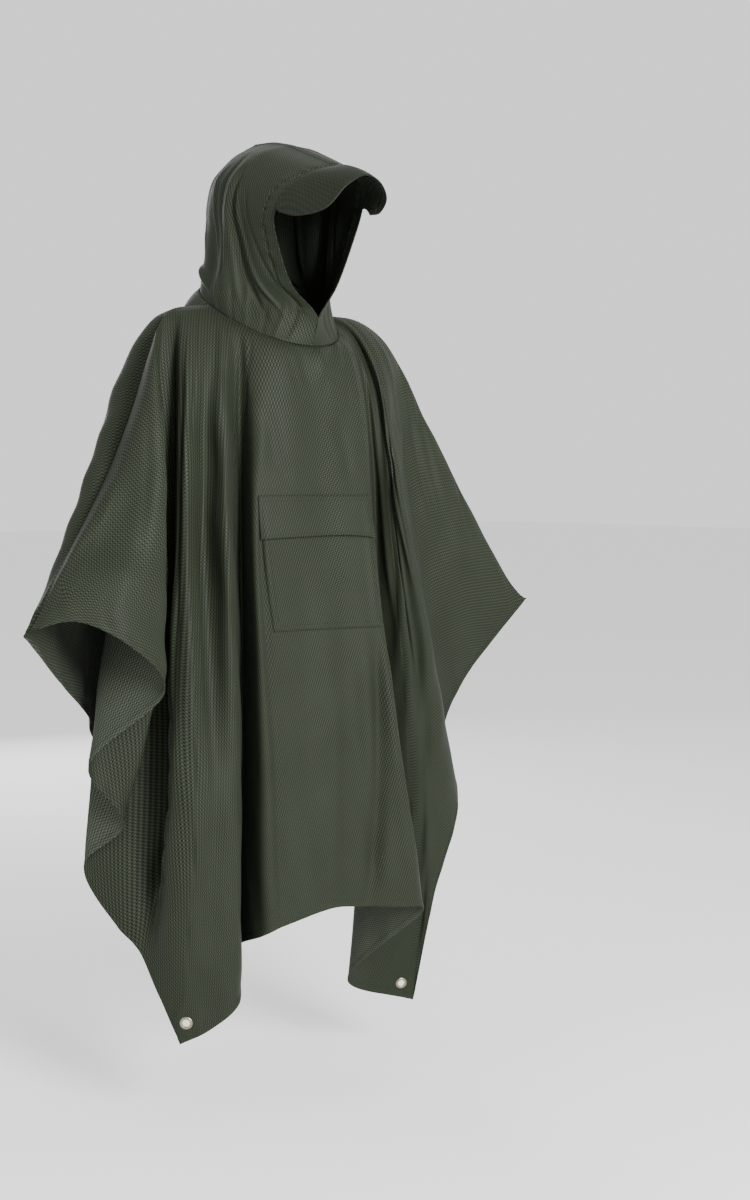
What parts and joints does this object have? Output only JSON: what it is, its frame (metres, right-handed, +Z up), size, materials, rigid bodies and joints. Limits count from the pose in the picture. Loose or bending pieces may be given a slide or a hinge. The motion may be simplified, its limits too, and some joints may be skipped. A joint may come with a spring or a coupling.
{
  "type": "rain poncho",
  "caption": "Hooded rain poncho filled out as worn, with a stiff peak on the hood, a flapped chest pocket, open hanging sides and eyelets at the corners of the cut.",
  "frame": {"origin": "on the wearer's shoulders, midway between the two shoulder points, at the level of the side of the neck", "axes": "+Z up; -Y is the wearer's front; +X is the wearer's left"},
  "size_m": [1.1022, 0.4917, 1.6088],
  "materials": {
    "shell_cloth": "coated dark olive green cloth with a fine diagonal weave and a soft sheen",
    "eyelet_metal": "pale plated metal, polished"
  },
  "bodies": {
    "root": {"front": "shell_cloth", "back": "shell_cloth", "hood_left": "shell_cloth", "hood_right": "shell_cloth", "visor": "shell_cloth", "pocket": "shell_cloth", "pocket_flap": "shell_cloth", "grommet_front_right": "eyelet_metal", "grommet_front_left": "eyelet_metal", "grommet_back_right": "eyelet_metal", "grommet_back_left": "eyelet_metal"}
  },
  "joints": []
}
